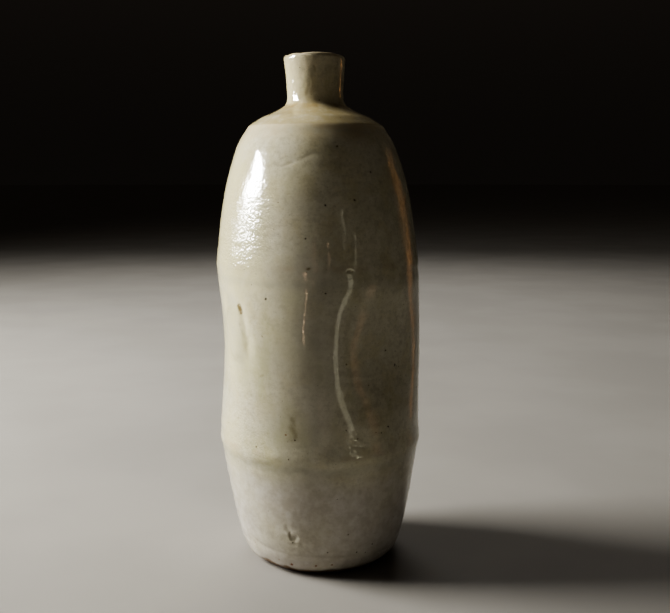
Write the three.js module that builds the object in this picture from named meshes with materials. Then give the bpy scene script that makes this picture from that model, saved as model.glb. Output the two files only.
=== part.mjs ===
// Hand-built sake bottle (tokkuri) with three pressed hollows round its waist.
// Six clay sections, luted one on top of the other. The wall joints are
// bevelled, so each section seats in the one below. Millimetres, +Z up. The origin is on the table under the
// middle of the bottle; the face with the crest between two hollows looks
// along -Y. Angles are in degrees from -Y, turning towards +X.
import * as THREE from 'three';

// ---- driving dimensions (mm) ------------------------------------------------
const SEGMENTS = 48;          // facets round the bottle
const CENTRE_SHIFT = 0.85;    // puts the leaning body's middle over the origin
// Joints between sections: height at the outer skin and at the inner skin
const FLOOR_JOINT = { outer: 8, inner: 8 };          // foot slab to lower wall
const RIDGE_JOINT = { outer: 54, inner: 55.8 };      // lower wall to hollowed waist
const WAIST_JOINT = { outer: 131, inner: 132.8 };    // hollowed waist to upper wall
const SHOULDER_JOINT = { outer: 194, inner: 190.5 }; // upper wall to shoulder cap
const NECK_JOINT = { outer: 203, inner: 201.5 };     // shoulder cap to neck
const RECESS_DEPTH = 1.0;     // shallow hollow scraped under the foot
const RECESS_RADIUS = 22.5;
const FOOT_INNER = 24.0;      // flat ring the bottle stands on
const FOOT_OUTER = 29.4;

// Outer radius up the height: [z, radius]
const OUTER = [
  [0, 29.4], [0.6, 30.3], [1.5, 31.3], [2.6, 33.0], [4, 34.4], [6, 35.3], [8, 36.05],
  [14, 37.9], [22, 39.75], [30, 41.3], [40, 42.9], [48, 44.3], [52, 45.0], [54, 45.35],
  [58, 45.4], [62, 45.2], [70, 45.3], [80, 45.6], [92, 45.9], [105, 45.95], [114, 45.8],
  [120, 45.7], [126, 45.6], [131, 45.3], [134, 45.1], [138, 44.75], [144, 44.05],
  [150, 43.3], [160, 41.8], [170, 39.7], [180, 36.75], [186, 34.6], [190, 32.4],
  [194, 29.5], [196, 26.8], [198, 23.6], [199.5, 20.0], [201, 16.7], [202, 15.0],
  [203, 13.6], [204.5, 12.7], [207, 12.3], [212, 12.5], [218, 12.95], [222, 13.35],
  [223.6, 13.3], [224.6, 12.5], [225, 11.4],
];

// Inner radius up the height: [z, radius]
const INNER = [
  [8, 30.2], [11, 31.9], [16, 33.7], [24, 35.6], [34, 37.4], [44, 39.0], [54, 40.3],
  [62, 40.6], [76, 40.9], [92, 41.2], [106, 41.2], [120, 41.0], [131, 40.8],
  [142, 39.9], [154, 38.3], [166, 35.9], [176, 32.7], [184, 28.6], [190, 24.6],
  [194, 20.6], [196, 17.2], [197.6, 13.4], [199, 10.8], [201, 9.3], [203, 8.8],
  [207, 8.5], [213, 8.6], [219, 9.0], [222.5, 9.5], [224.3, 10.2], [225, 11.4],
];

// Lean of the bottle: [z, x offset of the section centre]
const LEAN = [
  [0, 0.2], [28, -0.1], [56, -0.35], [92, -1.1], [130, -1.3], [160, -1.5], [194, -1.95], [225, -2.5],
];

// The three pressed hollows: centre angle and height, half width, reach above
// and below the centre, depth, and how quickly each fades sideways and upwards
const HOLLOWS = [
  { angle: -81.5, z: 99.8, halfAngle: 50.5, above: 34.7, below: 37.6, depth: 3.5, fadeRound: 1.2, fadeUp: 1.45 },
  { angle: 39.2, z: 99.1, halfAngle: 50.6, above: 32.6, below: 35.1, depth: 4.7, fadeRound: 1.33, fadeUp: 1.85 },
  { angle: 160.5, z: 98.0, halfAngle: 51.0, above: 33.5, below: 36.0, depth: 4.5, fadeRound: 1.2, fadeUp: 1.5 },
];

// ---- shape functions --------------------------------------------------------
function along(table, z) {
  if (z <= table[0][0]) return table[0][1];
  for (let i = 1; i < table.length; i++) {
    const [z1, v1] = table[i];
    if (z <= z1) {
      const [z0, v0] = table[i - 1];
      return v0 + ((v1 - v0) * (z - z0)) / (z1 - z0);
    }
  }
  return table[table.length - 1][1];
}

function hollowDepth(angle, z) {
  let d = 0;
  for (const h of HOLLOWS) {
    const da = Math.abs(((((angle - h.angle + 180) % 360) + 360) % 360) - 180);
    const round = (1 + Math.cos(Math.PI * Math.min(da / h.halfAngle, 1))) / 2;
    const dz = (z - h.z) / (z > h.z ? h.above : h.below);
    const up = Math.max(0, 1 - dz * dz);
    d += h.depth * round ** h.fadeRound * up ** h.fadeUp;
  }
  return d;
}

// One point of the wall: radius is the section's own, pressed in by the hollows.
function wallPoint(radius, z, angle) {
  const a = THREE.MathUtils.degToRad(angle);
  const pressed = radius > 0 ? radius - hollowDepth(angle, z) : 0;
  return [
    CENTRE_SHIFT + along(LEAN, z) + pressed * Math.sin(a),
    -pressed * Math.cos(a),
    z,
  ];
}

// Turns a profile of [radius, z] round the bottle. A profile that starts and
// ends on the axis is capped there; any other profile closes on itself.
function turned(profile) {
  const positions = [];
  const index = [];
  const capped = profile[0][0] === 0;
  const rings = profile.map(([radius, z]) => {
    if (radius === 0) {
      positions.push(...wallPoint(0, z, 0));
      return { start: positions.length / 3 - 1, single: true };
    }
    const start = positions.length / 3;
    for (let j = 0; j < SEGMENTS; j++) {
      positions.push(...wallPoint(radius, z, (j * 360) / SEGMENTS - 180));
    }
    return { start, single: false };
  });
  const count = capped ? rings.length - 1 : rings.length;
  for (let i = 0; i < count; i++) {
    const lower = rings[i];
    const upper = rings[(i + 1) % rings.length];
    const closing = i === rings.length - 1;
    for (let j = 0; j < SEGMENTS; j++) {
      const k = (j + 1) % SEGMENTS;
      if (lower.single) {
        index.push(lower.start, upper.start + k, upper.start + j);
      } else if (upper.single) {
        index.push(lower.start + j, lower.start + k, upper.start);
      } else if (closing) {
        // the lower joint face, cut on the same diagonals as the face it sits on
        index.push(lower.start + j, lower.start + k, upper.start + j);
        index.push(lower.start + k, upper.start + k, upper.start + j);
      } else {
        index.push(lower.start + j, lower.start + k, upper.start + k);
        index.push(lower.start + j, upper.start + k, upper.start + j);
      }
    }
  }
  const geometry = new THREE.BufferGeometry();
  geometry.setAttribute('position', new THREE.Float32BufferAttribute(positions, 3));
  geometry.setIndex(index);
  geometry.computeVertexNormals();
  return geometry;
}

const outerRow = (z) => [along(OUTER, z), z];
const innerRow = (z) => [along(INNER, z), z];

// A wall section between two joints: outer rows going up, then inner rows
// coming back down.
function section(below, outerHeights, above, innerHeights) {
  return turned([
    ...[below.outer, ...outerHeights, above.outer].map(outerRow),
    ...[above.inner, ...innerHeights, below.inner].map(innerRow),
  ]);
}

// ---- the sections -----------------------------------------------------------
const bottle = new THREE.Group();

function add(name, geometry, color, roughness) {
  const material = new THREE.MeshStandardMaterial({ color, roughness, metalness: 0 });
  const mesh = new THREE.Mesh(geometry, material);
  mesh.name = name;
  bottle.add(mesh);
  return mesh;
}

// Foot slab: the disc the walls were built on, scraped hollow underneath.
add('foot_slab', turned([
  [0, RECESS_DEPTH], [RECESS_RADIUS, RECESS_DEPTH], [FOOT_INNER, 0], [FOOT_OUTER, 0],
  ...[0.6, 1.5, 2.6, 4, 6, FLOOR_JOINT.outer].map(outerRow),
  innerRow(FLOOR_JOINT.inner), [28.4, 7.2], [24, 6.6], [0, 6.4],
]), 0xb9a890, 0.7);

// Lower wall, opening out to the ridge.
add('lower_wall', section(
  FLOOR_JOINT, [14, 22, 30, 40, 48],
  RIDGE_JOINT, [44, 34, 24, 16, 11],
), 0xd9cfb8, 0.28);

// Waist section, with the three hollows pressed into it.
add('hollowed_waist', section(
  RIDGE_JOINT, [58, 64, 71, 78, 85, 92, 99, 106, 113, 120, 126],
  WAIST_JOINT, [122, 113, 104, 95, 86, 77, 68, 61],
), 0xddd3bd, 0.28);

// Upper wall, closing in to the shoulder.
add('upper_wall', section(
  WAIST_JOINT, [134, 142, 150, 160, 170, 180, 186, 190],
  SHOULDER_JOINT, [184, 176, 166, 154, 142],
), 0xd8cdb2, 0.26);

// Shoulder cap, a low dome with the hole for the neck.
add('shoulder_cap', section(
  SHOULDER_JOINT, [196, 198, 199.5, 201, 202],
  NECK_JOINT, [199, 197.6, 196, 194],
), 0xc9b98f, 0.3);

// Neck, with a rounded and slightly flared lip.
add('neck', section(
  NECK_JOINT, [204.5, 207, 212, 218, 222, 223.6, 224.6],
  { outer: 225, inner: 224.3 }, [222.5, 219, 213, 207],
), 0xd2c6a6, 0.28);

export default bottle;
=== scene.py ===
"""Looks of a hand-built, glazed stoneware sake bottle with three pressed hollows.

The six clay sections of the frame are each replaced by a finely modelled piece.
All six are cut from one continuous skin, so neighbouring sections share the same
joint faces and the glaze runs over the joints without a break.

Lengths are in millimetres until the meshes are made, and in metres from there on.
Angles are in degrees from -Y, turning towards +X.
"""

import math

import bpy
import numpy as np
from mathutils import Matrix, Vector, kdtree


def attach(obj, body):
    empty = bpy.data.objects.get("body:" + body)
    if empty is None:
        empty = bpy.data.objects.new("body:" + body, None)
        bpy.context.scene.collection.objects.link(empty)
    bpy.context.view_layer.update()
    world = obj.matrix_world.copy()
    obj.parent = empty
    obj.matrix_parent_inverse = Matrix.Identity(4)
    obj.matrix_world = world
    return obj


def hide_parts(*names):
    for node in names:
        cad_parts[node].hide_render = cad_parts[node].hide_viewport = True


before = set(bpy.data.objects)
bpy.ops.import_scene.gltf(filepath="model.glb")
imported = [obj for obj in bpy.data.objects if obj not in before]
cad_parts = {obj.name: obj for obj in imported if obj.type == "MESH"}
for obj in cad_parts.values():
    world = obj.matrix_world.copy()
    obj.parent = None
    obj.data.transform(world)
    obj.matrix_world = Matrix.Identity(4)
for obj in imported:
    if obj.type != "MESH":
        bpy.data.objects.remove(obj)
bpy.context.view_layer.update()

# ---- camera -----------------------------------------------------------------
camera_data = bpy.data.cameras.new("camera")
camera_data.lens = 50.0
camera_data.sensor_width = 36.0
camera_data.clip_start = 0.01
camera = bpy.data.objects.new("camera", camera_data)
camera.location = (0.00085, -0.41736, 0.17477)
camera.rotation_euler = (math.radians(90.0 - 8.2836), 0.0, -math.radians(0.8879))
bpy.context.scene.collection.objects.link(camera)
bpy.context.scene.camera = camera

# ---- the bottle's driving tables (the same as the frame's) ------------------
CENTRE_SHIFT = 0.85
OUTER = [
    (0, 29.4), (0.6, 30.3), (1.5, 31.3), (2.6, 33.0), (4, 34.4), (6, 35.3), (8, 36.05),
    (14, 37.9), (22, 39.75), (30, 41.3), (40, 42.9), (48, 44.3), (52, 45.0), (54, 45.35),
    (58, 45.4), (62, 45.2), (70, 45.3), (80, 45.6), (92, 45.9), (105, 45.95), (114, 45.8),
    (120, 45.7), (126, 45.6), (131, 45.3), (134, 45.1), (138, 44.75), (144, 44.05),
    (150, 43.3), (160, 41.8), (170, 39.7), (180, 36.75), (186, 34.6), (190, 32.4),
    (194, 29.5), (196, 26.8), (198, 23.6), (199.5, 20.0), (201, 16.7), (202, 15.0),
    (203, 13.6), (204.5, 12.7), (207, 12.3), (212, 12.5), (218, 12.95), (222, 13.35),
    (223.2, 13.42), (224.25, 13.1), (224.85, 12.4), (225, 11.4),
]
INNER = [
    (225, 11.4), (224.75, 10.75), (224.2, 10.2), (222.5, 9.55), (219, 9.0), (213, 8.6),
    (207, 8.5), (203, 8.8), (201, 9.3), (199, 10.8), (197.6, 13.4), (196, 17.2),
    (194, 20.6), (190, 24.6), (184, 28.6), (176, 32.7), (166, 35.9), (154, 38.3),
    (142, 39.9), (131, 40.8), (120, 41.0), (106, 41.2), (92, 41.2), (76, 40.9),
    (62, 40.6), (54, 40.3), (44, 39.0), (34, 37.4), (24, 35.6), (16, 33.7), (11, 31.9),
    (8, 30.2),
]
UNDER = [(1.0, 0.25), (1.0, 8), (1.0, 16), (1.0, 22.0), (0.75, 22.7), (0.2, 23.6), (0, 24.1), (0, 29.0)]
FLOOR = [(8, 30.2), (7.2, 28.4), (6.6, 24), (6.45, 12), (6.4, 0.25)]
LEAN = [(0, 0.2), (28, -0.1), (56, -0.35), (92, -1.1), (130, -1.3), (160, -1.5), (194, -1.95), (225, -2.5)]
HOLLOWS = [
    dict(angle=-81.5, z=99.8, half=50.5, above=34.7, below=37.6, depth=3.5, round=1.2, up=1.45),
    dict(angle=39.2, z=99.1, half=50.6, above=32.6, below=35.1, depth=4.7, round=1.33, up=1.85),
    dict(angle=160.5, z=98.0, half=51.0, above=33.5, below=36.0, depth=4.5, round=1.2, up=1.5),
]
# joints: (height at the outer skin, height at the inner skin)
FLOOR_JOINT, RIDGE_JOINT, WAIST_JOINT = (8, 8), (54, 55.8), (131, 132.8)
SHOULDER_JOINT, NECK_JOINT = (194, 190.5), (203, 201.5)

COLUMNS = 512
FIRST_ANGLE = 100.0          # where the skin's seam runs, on the far right side


# ---- small numeric helpers ----------------------------------------------------
def pchip(x, y, xs):
    """Monotone cubic interpolation through (x, y)."""
    x, y = np.asarray(x, float), np.asarray(y, float)
    h, d = np.diff(x), np.diff(y) / np.diff(x)
    m = np.zeros_like(y)
    for i in range(1, len(x) - 1):
        if d[i - 1] * d[i] > 0:
            w1, w2 = 2 * h[i] + h[i - 1], h[i] + 2 * h[i - 1]
            m[i] = (w1 + w2) / (w1 / d[i - 1] + w2 / d[i])
    m[0], m[-1] = d[0], d[-1]
    k = np.clip(np.searchsorted(x, xs) - 1, 0, len(x) - 2)
    t = (xs - x[k]) / h[k]
    return ((2 * t**3 - 3 * t**2 + 1) * y[k] + (t**3 - 2 * t**2 + t) * h[k] * m[k]
            + (-2 * t**3 + 3 * t**2) * y[k + 1] + (t**3 - t**2) * h[k] * m[k + 1])


def blurred(values, step, sigma):
    """Gaussian smoothing of an evenly spaced curve, with its ends held."""
    if sigma <= 0:
        return values
    n = int(4 * sigma / step)
    k = np.exp(-0.5 * (np.arange(-n, n + 1) * step / sigma) ** 2)
    k /= k.sum()
    padded = np.concatenate([2 * values[0] - values[1:n + 1][::-1], values, 2 * values[-1] - values[-n - 1:-1][::-1]])
    return np.convolve(padded, k, "valid")


def smooth(lo, hi, x):
    t = np.clip((x - lo) / (hi - lo), 0, 1)
    return t * t * (3 - 2 * t)


def bell(x, width):
    return np.exp(-0.5 * (x / width) ** 2)


_GRAD = np.array([(1, 1, 0), (-1, 1, 0), (1, -1, 0), (-1, -1, 0), (1, 0, 1), (-1, 0, 1), (1, 0, -1), (-1, 0, -1),
                  (0, 1, 1), (0, -1, 1), (0, 1, -1), (0, -1, -1)], float)


def noise(p, scale, seed=0):
    """Perlin noise, about -0.7 to 0.7, of points p (…, 3) in mm; scale is the lump size in mm."""
    q = np.asarray(p, float) / scale + 37.3 + 11.7 * seed
    i = np.floor(q).astype(np.int64)
    f = q - i
    u = f * f * f * (f * (f * 6 - 15) + 10)
    total = 0.0
    for dx in (0, 1):
        for dy in (0, 1):
            for dz in (0, 1):
                h = ((i[..., 0] + dx) * 73856093) ^ ((i[..., 1] + dy) * 19349663) ^ ((i[..., 2] + dz) * 83492791) ^ (seed * 2654435)
                h = (h ^ (h >> 13)) * 1274126177
                g = _GRAD[((h ^ (h >> 16)) & 0x7FFFFFFF) % 12]
                n = g[..., 0] * (f[..., 0] - dx) + g[..., 1] * (f[..., 1] - dy) + g[..., 2] * (f[..., 2] - dz)
                w = (u[..., 0] if dx else 1 - u[..., 0]) * (u[..., 1] if dy else 1 - u[..., 1]) * (u[..., 2] if dz else 1 - u[..., 2])
                total = total + n * w
    return total


def round_noise(angle, scale, seed):
    """Noise that closes round the bottle; scale is the lump size in mm at a 45 mm radius."""
    a = np.radians(angle)
    return noise(np.stack([45 * np.sin(a), -45 * np.cos(a), np.zeros_like(a)], -1), scale, seed)


# ---- the profile, as one path from under the foot, up outside, down inside ----
def path(table, sigma):
    pts = np.array([(r, z) for z, r in table], float)
    t = np.concatenate([[0], np.cumsum(np.hypot(*np.diff(pts, axis=0).T))])
    fine = np.linspace(0, t[-1], int(t[-1] / 0.05) + 1)
    r, z = pchip(t, pts[:, 0], fine), pchip(t, pts[:, 1], fine)
    if sigma is not None:
        soft, crisp = blurred(r, fine[1], sigma[0]), blurred(r, fine[1], sigma[1])
        w = smooth(5, 12, z) * (1 - smooth(186, 194, z))
        r = np.where((z > 2) & (z < 221), crisp * (1 - w) + soft * w, r)
    return fine, r, z


def rows(table, stops, spacing, sigma=None, ends=True):
    """Rows (r, z) along a path, with a row exactly at every stop height."""
    t, r, z = path(table, sigma)
    marks = [t[0]] + [t[np.argmin(np.abs(z - s))] for s in stops] + [t[-1]]
    at = []
    for a, b, d in zip(marks[:-1], marks[1:], spacing):
        n = max(1, int(round((b - a) / d)))
        at += list(np.linspace(a, b, n + 1)[:-1])
    at = np.array(at + [marks[-1]])
    breaks = [int(np.argmin(np.abs(at - m))) for m in marks]
    return np.interp(at, t, r), np.interp(at, t, z), breaks


fine_step = 0.5
ur, uz, _ = rows(UNDER, [], [1.0])
outr, outz, ob = rows(OUTER, [8, 54, 131, 194, 203], [0.4] + [fine_step] * 3 + [0.45, 0.33], sigma=(1.4, 0.55))
inr, inz, ib = rows(INNER, [218, 201.5, 190.5, 132.8, 55.8], [0.4, 1.2, 1.0, 2.6, 3.0, 2.6])
fr, fz, _ = rows(FLOOR, [], [2.2])

ROW_R = np.concatenate([ur, outr, inr[1:], fr[1:]])
ROW_Z = np.concatenate([uz, outz, inz[1:], fz[1:]])
nu, no, ni = len(ur), len(outr), len(inr)
# row numbers of the joints on the way up outside and on the way down inside
OUT = [nu + b for b in ob]                     # foot edge, floor, ridge, waist, shoulder, neck, lip
IN = [nu + no - 1 + b for b in ib]             # lip, bore, neck, shoulder, waist, ridge, floor
ROWS = len(ROW_R)
ANGLE = FIRST_ANGLE + np.arange(COLUMNS) * 360.0 / COLUMNS
ANGLE = (ANGLE + 180) % 360 - 180

R, A = np.meshgrid(ROW_R, ANGLE, indexing="ij")
Z = np.repeat(ROW_Z[:, None], COLUMNS, 1)
ROW = np.repeat(np.arange(ROWS)[:, None], COLUMNS, 1)
SIN, COS = np.sin(np.radians(A)), np.cos(np.radians(A))


def hollow_depth(angle, z):
    d = 0.0
    for h in HOLLOWS:
        da = np.abs((angle - h["angle"] + 180) % 360 - 180)
        side = (1 + np.cos(np.pi * np.minimum(da / h["half"], 1))) / 2
        dz = (z - h["z"]) / np.where(z > h["z"], h["above"], h["below"])
        d = d + h["depth"] * side ** h["round"] * np.maximum(0, 1 - dz * dz) ** h["up"]
    return d


def lean(z):
    return pchip([p[0] for p in LEAN], [p[1] for p in LEAN], np.clip(z, 0, 225))


def skin(radius, z, sin, cos, angle):
    pressed = radius - hollow_depth(angle, z) * (radius > 24)
    return np.stack([CENTRE_SHIFT + lean(z) + pressed * sin, -pressed * cos, z], -1)


def normals(p):
    """Outward normals of the closed skin."""
    along = np.empty_like(p)
    along[1:-1] = p[2:] - p[:-2]
    along[0], along[-1] = p[1] - p[0], p[-1] - p[-2]
    around = np.roll(p, -1, axis=1) - np.roll(p, 1, axis=1)
    n = np.cross(around, along)
    return n / np.maximum(np.linalg.norm(n, axis=-1, keepdims=True), 1e-12)


BASE = skin(R, Z, SIN, COS, A)
N0 = normals(BASE)

outside = (ROW >= OUT[0]) & (ROW <= OUT[6])
under = ROW < OUT[0]
inside = ROW > OUT[6]
OUTF = outside.astype(float)
# the rim of the bore carries a little of the outside's unevenness
LIPF = np.where(outside, 1.0, np.where(inside, smooth(212, 223, Z) * (R < 14), 0.0))

# ---- the making marks ---------------------------------------------------------
P = BASE
hollow = hollow_depth(A, Z)
body = smooth(1.5, 9, Z) * (1 - smooth(196, 201, Z))
necky = smooth(203, 206, Z) * (R < 16)


def spot(angle, z, width, height=None, turn=0.0):
    """A soft round or oval patch on the wall, 1 at its middle. Sizes in mm."""
    x = ((A - angle + 180) % 360 - 180) * math.pi / 180 * R
    y = Z - z
    c, s = math.cos(math.radians(turn)), math.sin(math.radians(turn))
    u, v = c * x + s * y, -s * x + c * y
    return np.exp(-0.5 * ((u / width) ** 2 + (v / (height or width)) ** 2)) * outside


def patch(angle, z, angle_width, z_width):
    """A soft patch that spans angle_width degrees and z_width mm."""
    return np.exp(-0.5 * ((((A - angle + 180) % 360 - 180) / angle_width) ** 2 + ((Z - z) / z_width) ** 2))


def away(angle, z):
    """Distance in mm over the wall from a point on it."""
    return np.hypot(((A - angle + 180) % 360 - 180) * math.pi / 180 * R, Z - z) + 99.0 * (~outside)


def stroke(points, width, wobble=0.0, seed=5, taper=2.0):
    """A line drawn on the wall through (angle, z) points: 1 on the line, fading over width."""
    best = np.full(A.shape, 1e9)
    where = np.zeros(A.shape)
    span = len(points) - 1
    near = (Z > min(p[1] for p in points) - 8 * width - 3) & (Z < max(p[1] for p in points) + 8 * width + 3) & outside
    shift = wobble * noise(P, 4.0, seed)
    for k in range(span):
        (a0, z0), (a1, z1) = points[k], points[k + 1]
        mid = math.radians(1) * np.maximum(R, 1)
        x = ((A - a0 + 180) % 360 - 180) * mid + shift
        y = Z - z0 + shift
        dx = ((a1 - a0 + 180) % 360 - 180) * mid
        dy = z1 - z0
        t = np.clip((x * dx + y * dy) / np.maximum(dx * dx + dy * dy, 1e-9), 0, 1)
        d = np.hypot(x - t * dx, y - t * dy)
        closer = d < best
        best = np.where(closer, d, best)
        where = np.where(closer, (k + t) / span, where)
    ends = np.minimum(1, np.minimum(where, 1 - where) * taper * span + 0.25) if taper else 1.0
    return np.exp(-0.5 * (best / width) ** 2) * near * ends


D = np.zeros(A.shape)
# slow unevenness left by coiling and beating, less of it in the pressed places
D += body * (0.20 * noise(P, 27, 1) + 0.085 * noise(P, 12, 2) + 0.03 * noise(P, 5.5, 3))
# finger ripples that wander round the wall
wander = 0.9 * noise(P, 34, 4)
ripple = np.sin(2 * np.pi * (Z / 6.1 + wander))
D += body * (0.040 - 0.028 * smooth(140, 160, Z)) * ripple * np.clip(0.45 + 1.1 * noise(P, 30, 6), 0, 1) * np.exp(-hollow / 3)
# short slanting drag marks from smoothing with a rib
drag = noise(P * np.array([1.0, 1.0, 3.2]), 9.0, 7)
D += body * 0.035 * drag
# pebbled glaze, strongest on the left of the shoulder
pebble = (0.30 + 1.35 * patch(-52, 147, 24, 14) + 1.45 * patch(-36, 68, 20, 13) + 1.10 * patch(62, 164, 12, 24)
          + 0.5 * patch(-130, 120, 30, 40) + 0.45 * noise(P, 26, 24))
pebble = np.clip(pebble, 0.05, 2.2) * body * (1 - 0.9 * patch(14, 105, 20, 35)) + 0.12 * necky
D += OUTF * pebble * (0.026 * noise(P, 2.2, 28) + 0.036 * noise(P, 3.6, 25) + 0.056 * noise(P, 6.8, 26))

# the ledge where the upper wall laps over the waist
ledge_z = 132.6 + 0.9 * round_noise(A, 20, 8) + 0.5 * round_noise(A, 7, 9)
step = smooth(-3.2, 2.8, Z - ledge_z)
D += OUTF * 0.24 * (step - 1) * np.exp(-np.maximum(ledge_z - Z, 0) / 5.0)
D += OUTF * 0.05 * bell(Z - ledge_z - 3.6, 2.2)
# the low ridge, a little proud, with a soft undercut below it
ridge_z = 56.0 + 0.8 * round_noise(A, 24, 10) + 0.35 * round_noise(A, 8, 11)
D += OUTF * 0.26 * bell(Z - ridge_z, 2.3)
D -= OUTF * 0.16 * bell(Z - ridge_z + 5.2, 2.0)
# the shoulder cap's lapped edge
cap_z = 194.0 + 0.35 * round_noise(A, 18, 12)
D += OUTF * 0.12 * bell(Z - cap_z, 0.9)
D -= OUTF * 0.10 * bell(Z - cap_z + 2.4, 1.3) * (R > 25)
# the neck's root, squeezed on with a fingertip all round
D += OUTF * 0.10 * np.sin(np.radians(A * 9) + 2.0 * round_noise(A, 30, 13)) * bell(Z - 201.6, 1.1) * (R > 12.5)
# the slab's edge under the wall
slab_z = 10.6 + 0.7 * round_noise(A, 22, 14)
D += OUTF * 0.13 * smooth(-0.9, 0.9, slab_z - Z) * np.exp(-np.maximum(slab_z - Z, 0) / 5.0) * smooth(0.5, 3.0, Z)

# pinched corner running down beside the left hollow, and the dent it was pinched from
FOLD = [(-47.6, 119.5), (-45.6, 115.0), (-43.2, 110.5), (-41.2, 106.0), (-40.2, 101.5), (-39.9, 96.5)]
D += 0.14 * stroke([(a + 6.0, z) for a, z in FOLD], 2.6, 0.8, taper=1.2)
D += 0.62 * stroke([(a - 11.0, z - 2) for a, z in FOLD], 4.2, 0.8, taper=1.2)
D += 0.30 * stroke([(a - 2.6, z) for a, z in FOLD[:5]], 1.3, 0.8, taper=0.6)
D -= 0.52 * stroke([(a + 0.7, z) for a, z in FOLD], 2.1, 0.8, taper=0.6)
D -= 0.06 * stroke([(a - 0.2, z) for a, z in FOLD[1:4]], 0.5, 0.5, taper=1.0)
D -= 0.22 * spot(-52.0, 116.0, 2.2, 3.6, 14) + 0.42 * spot(-63.0, 120.5, 4.2, 3.6, 10)
for a, z, tilt in ((-46.4, 111.2, 2.2), (-44.9, 109.3, 2.0), (-47.4, 108.0, 2.6), (-44.0, 105.8, 1.6)):
    D -= 0.14 * stroke([(a - 1.3, z + tilt * 0.5), (a + 1.3, z - tilt * 0.5)], 0.40, 0.3)
# finger pressure at the hollows' edges
D -= 0.25 * spot(24, 118, 7, 4, 30) + 0.18 * spot(-62, 78, 6, 5, -20) + 0.20 * spot(15, 80, 6, 4, 10)
D += 0.18 * spot(-15, 98, 9, 16)
# a blister with a burst hole, low down, and the little dents beside it
burst = away(-17.2, 19.4) + 0.9 * noise(P, 2.6, 40)
D += 0.55 * bell(burst - 2.4, 0.85) * (0.75 + 0.9 * noise(P, 2.9, 41)) - 0.55 * bell(burst, 1.25)
D += 0.34 * spot(-12.4, 20.6, 1.2, 2.3, 12) + 0.30 * spot(-23.2, 21.8, 1.2, 1.3) - 0.30 * spot(-21.2, 24.0, 0.8, 1.0)
D -= 0.34 * stroke([(-19.8, 22.6), (-20.2, 20.0), (-19.2, 17.2)], 0.55, 0.5)
D += 0.34 * spot(-14.8, 15.0, 1.7, 0.6) - 0.24 * spot(-15.4, 16.5, 1.2, 0.45) + 0.20 * spot(-9.6, 17.0, 1.0, 0.8) + 0.16 * spot(-18.0, 26.5, 1.6, 1.0)
# a crumpled place where the ridge is pinched
D += 0.22 * noise(P, 1.9, 42) * spot(17.5, 62.0, 3.2, 3.0) - 0.12 * spot(19.6, 61.0, 1.6, 1.0)
# chips and pinches along the foot
D -= 0.75 * spot(-45.0, 3.2, 2.4, 1.1) + 0.5 * spot(-38.0, 1.6, 2.0, 0.9) + 0.6 * spot(-27.0, 2.2, 1.4, 0.9)
D -= 0.45 * spot(6.0, 1.9, 1.8, 0.8) + 0.55 * spot(61.0, 2.4, 2.2, 1.0) + 0.6 * spot(150.0, 2.2, 2.6, 1.0) + 0.5 * spot(-120.0, 2.0, 2.4, 0.9)
D += OUTF * 0.16 * (1 - smooth(2, 6, Z)) * smooth(0.3, 1.5, Z) * (round_noise(A, 9, 15) + 0.6 * round_noise(A, 4, 16))
# a line of scraped clay near the foot
D -= 0.12 * stroke([(-56, 14.6), (-52.3, 14.2), (-44.2, 12.4), (-33.9, 11.3), (-24.5, 11.1)], 0.55, 0.4)
# trowel marks on the upper wall
D -= 0.17 * stroke([(-27, 177.2), (-21.5, 176.6), (-17.7, 177.4), (-13.0, 178.6)], 0.55, 0.9)
D -= 0.10 * stroke([(-11.4, 178.9), (-2.3, 181.6), (6.1, 182.2), (15.8, 182.8)], 0.6, 0.9)
D -= 0.07 * stroke([(7.9, 169.6), (20.0, 170.4), (38.4, 171.1), (52, 170.2)], 0.7, 0.9)
D -= 0.09 * stroke([(-34, 150.5), (-25, 152.0), (-14, 151.8)], 0.8, 0.9)
D -= 0.10 * stroke([(118, 158), (131, 161.5), (146, 162.2)], 0.7, 0.9) + 0.12 * stroke([(-150, 170), (-138, 173), (-127, 172.4)], 0.7, 0.9)
# splits in the ledge
D -= 0.12 * stroke([(14.4, 134.4), (16.8, 134.8), (19.6, 134.3)], 0.28, 0.3) + 0.13 * stroke([(-5.6, 135.8), (-3.0, 136.2)], 0.3, 0.3)
D -= 0.30 * stroke([(101, 133.6), (106.5, 134.3)], 0.35, 0.3) + 0.30 * stroke([(-134, 134.2), (-127, 133.6)], 0.35, 0.3)
# neck: flats and creases from pinching, and a wavering wall
D += necky * (0.10 * noise(P, 13, 17) + 0.05 * noise(P * np.array([1, 1, 0.4]), 6.0, 18) + 0.08 * noise(P, 2.4, 27))
D += 0.09 * stroke([(-13, 220.5), (-10.5, 217), (-9.0, 213.5), (-12.5, 210.5), (-16.5, 207.5)], 0.7, 0.9) * (R < 16)
D -= 0.09 * stroke([(-1.7, 219.8), (0.6, 218.2), (1.5, 216.0), (0.2, 214.4)], 0.55, 0.3) * (R < 16)
D -= 0.11 * stroke([(-9.6, 213.0), (-11.6, 210.6), (-15.0, 208.6), (-17.6, 206.6)], 0.5, 0.3) * (R < 16)
D += 0.10 * spot(-24, 212, 2.6, 3.4) * (R < 16) - 0.12 * spot(24, 209, 3.0, 3.6) * (R < 16)
# scrapes under the foot, left by a trimming wire
D -= under * 0.07 * (0.5 + 0.5 * np.sin(2 * np.pi * R / 3.1 + 1.5 * noise(P, 20, 19))) * (R < 22)
D += under * 0.10 * noise(P, 4.0, 20) * (R < 22.3)
D += inside * 0.12 * noise(P, 16, 21) * smooth(10, 30, Z)
P1 = BASE + N0 * D[..., None]
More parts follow.
